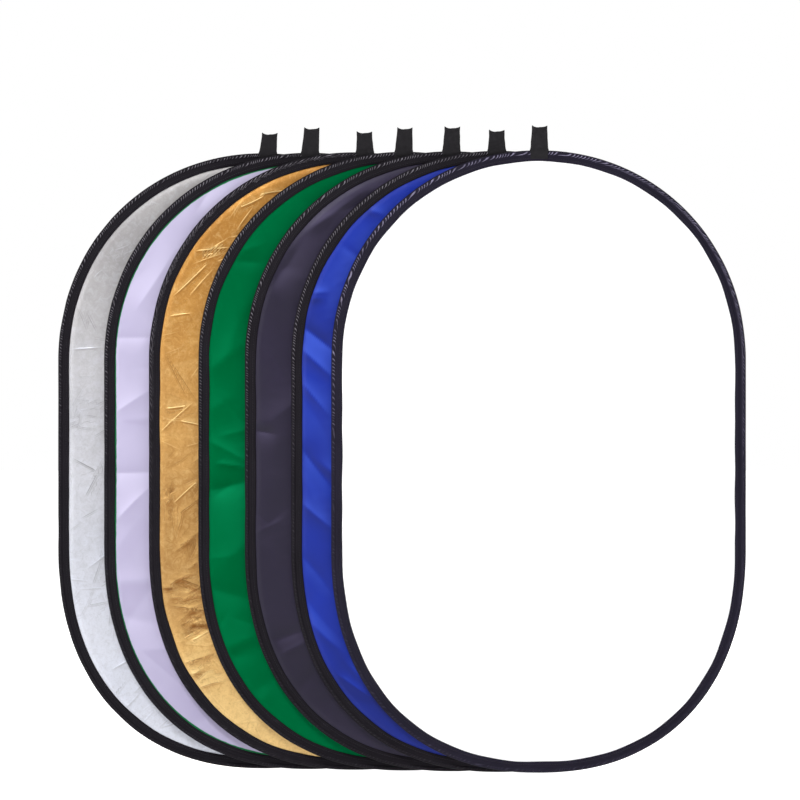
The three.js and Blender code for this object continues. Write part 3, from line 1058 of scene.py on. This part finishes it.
def seam_stitches(name, oval, centre):
    """A row of stitches on each face of the binding."""
    rows = []
    for face in (-1, 1):
        middle, along = stitch_row_points(oval, centre, face)
        rows.append((middle, along, np.broadcast_to(np.array([0.0, face, 0.0]), along.shape)))
    return stitches(f"{name}_seam_stitches", *(np.concatenate(part) for part in zip(*rows)))


def panel_pieces(name, style, oval, centre, tape, seed):
    """Everything that rides on a panel, as (piece, CAD nodes it stands for, material slot)."""
    yield binding_piece(name, oval, centre, style, tape, seed), [f"{name}_binding"], "binding_tape"
    yield seam_stitches(name, oval, centre), [], "binding_tape"
    section = rounded_box_section(HOOP_OUTER, HOOP_INNER, HOOP_HALF, HOOP_BEVEL)
    hoop = ring_strip(f"{name}_hoop_strip", oval, centre, section, STEEL)
    yield hoop, [f"{name}_spring_hoop"], "spring_steel"
    node = f"{name}_hoop_ferrule"
    yield ferrule_piece(f"{name}_ferrule_sleeve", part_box(node)), [node], "ferrule_metal"
    if "back" not in style:
        kind = style["front"]
        yield skin_piece(f"{name}_cloth", oval, centre, kind, -1, seed), [f"{name}_skin"], SLOTS[kind]
        return
    for side, face in (("front", -1), ("back", 1)):
        kind = style[side]
        cloth = skin_piece(f"{name}_{side}_cloth", oval, centre, kind, face, seed)
        yield cloth, [f"{name}_{side}_skin"], SLOTS[kind]


def build_panel(index, name, style):
    """One panel of the fan, set to move with its body, and its hang loop."""
    low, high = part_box(f"{name}_binding")
    centre = (low + high) / 2
    oval = Oval((high.x - low.x) / 2, (high.z - low.z) / 2)
    panel, loop = f"{name}_panel", f"{name}_loop"
    seed = 100 * (index + 1)

    tape = FRONT_TAPE if index == 0 else TAPE
    for piece, nodes, slot in list(panel_pieces(name, style, oval, centre, tape, seed)):
        face_outwards(piece)
        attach(piece, panel)
        if nodes:
            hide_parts(*nodes)

    loop_low, loop_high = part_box(f"{name}_hang_loop")
    loop_x = (loop_low.x + loop_high.x) / 2
    strip = loop_piece(f"{name}_webbing", centre, high.z, loop_x, loop_high.z, style["lean"], seed + 7)
    face_outwards(strip)
    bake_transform(strip)
    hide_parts(f"{name}_hang_loop", f"{name}_loop_saddle")


for number, (panel_name, panel_style) in enumerate(PANELS.items()):
    build_panel(number, panel_name, panel_style)


# ---------------------------------------------------------------- stage

def floor():
    """A wide white floor that stays white to its edge, so that it meets the white room without a line."""
    nodes = Nodes("paper_floor", roughness=0.9, specular=0.1)
    grain = nodes.noise(nodes.place(), 30, detail=2)
    nodes.set(**{"Base Color": nodes.mix(grain, (0.93, 0.93, 0.93, 1), (0.95, 0.95, 0.95, 1))})
    seen = nodes.add("ShaderNodeLightPath", output=0)
    nodes.set(**{"Emission Color": (1, 1, 1, 1), "Emission Strength": nodes.spread(seen, 0, 1, 0.6, 1.0)})
    turn = np.linspace(0, 2 * np.pi, FLOOR_SIDES, endpoint=False)
    level = np.full(FLOOR_SIDES, cad_box[0].z - FLOOR_DROP)
    rings = [np.stack([radius * np.cos(turn), radius * np.sin(turn), level], 1) for radius in FLOOR_RADII]
    faces = grid_faces(len(rings), FLOOR_SIDES, wrap_columns=True)
    sheet = make_mesh("paper_floor", np.concatenate(rings), faces, nodes.material)
    cap = make_mesh("paper_floor_middle", rings[0], [range(FLOOR_SIDES)], nodes.material)


def area_light(name, place, target, size, power):
    """A round soft lamp that the camera doesn't see."""
    data = bpy.data.lights.new(name, "AREA")
    data.shape, data.size, data.energy = "DISK", size, power
    light = bpy.data.objects.new(name, data)
    bpy.context.scene.collection.objects.link(light)
    light.location = place
    light.visible_camera = False
    direction = Vector(target) - Vector(place)
    light.rotation_euler = direction.to_track_quat("-Z", "Y").to_euler()


def studio():
    """A white room, dim in front of the set and brighter behind it, with soft lights all round."""
    world = bpy.data.worlds.new("soft_room")
    bpy.context.scene.world = world
    world.use_nodes = True
    tree = world.node_tree

    def add(kind, inputs, operation=None):
        node = tree.nodes.new(kind)
        if operation:
            node.operation = operation
        for number, value in enumerate(inputs):
            if isinstance(value, bpy.types.NodeSocket):
                tree.links.new(value, node.inputs[number])
            elif value is not None:
                node.inputs[number].default_value = value
        return node

    place = tree.nodes.new("ShaderNodeTexCoord").outputs["Generated"]
    facing = add("ShaderNodeVectorMath", (place, (0, -1, 0)), "DOT_PRODUCT").outputs["Value"]
    front = add("ShaderNodeMapRange", (facing, 0.6, 0.985, ROOM_LIGHT, ROOM_FRONT)).outputs[0]
    behind = add("ShaderNodeMapRange", (facing, -0.1, -0.6, 0.0, ROOM_BACK)).outputs[0]
    room = add("ShaderNodeMath", (front, behind), "ADD").outputs[0]
    seen = tree.nodes.new("ShaderNodeLightPath").outputs["Is Camera Ray"]
    strength = add("ShaderNodeMath", (room, seen), "MAXIMUM").outputs[0]
    background = tree.nodes["Background"]
    background.inputs["Color"].default_value = (1, 1, 1, 1)
    tree.links.new(strength, background.inputs["Strength"])
    for name, (spot, size, power) in LAMPS.items():
        area_light(name, spot, AIM, size, power)


def camera():
    """A long lens looks straight at the fan's face."""
    data = bpy.data.cameras.new("camera")
    data.lens, data.sensor_width = LENS, SENSOR
    lens_object = bpy.data.objects.new("camera", data)
    bpy.context.scene.collection.objects.link(lens_object)
    bpy.context.scene.camera = lens_object
    front_low, front_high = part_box("diffuser_binding")
    middle_x = (cad_box[0].x + cad_box[1].x) / 2
    middle_z = (front_low.z + front_high.z) / 2 + CAMERA_RISE
    lens_object.location = (middle_x, front_low.y - CAMERA_DISTANCE, middle_z)
    lens_object.rotation_euler = (math.pi / 2, 0, 0)
    data.clip_start, data.clip_end = 0.1, 200


floor()
studio()
camera()
bpy.context.scene.view_settings.view_transform = "Standard"
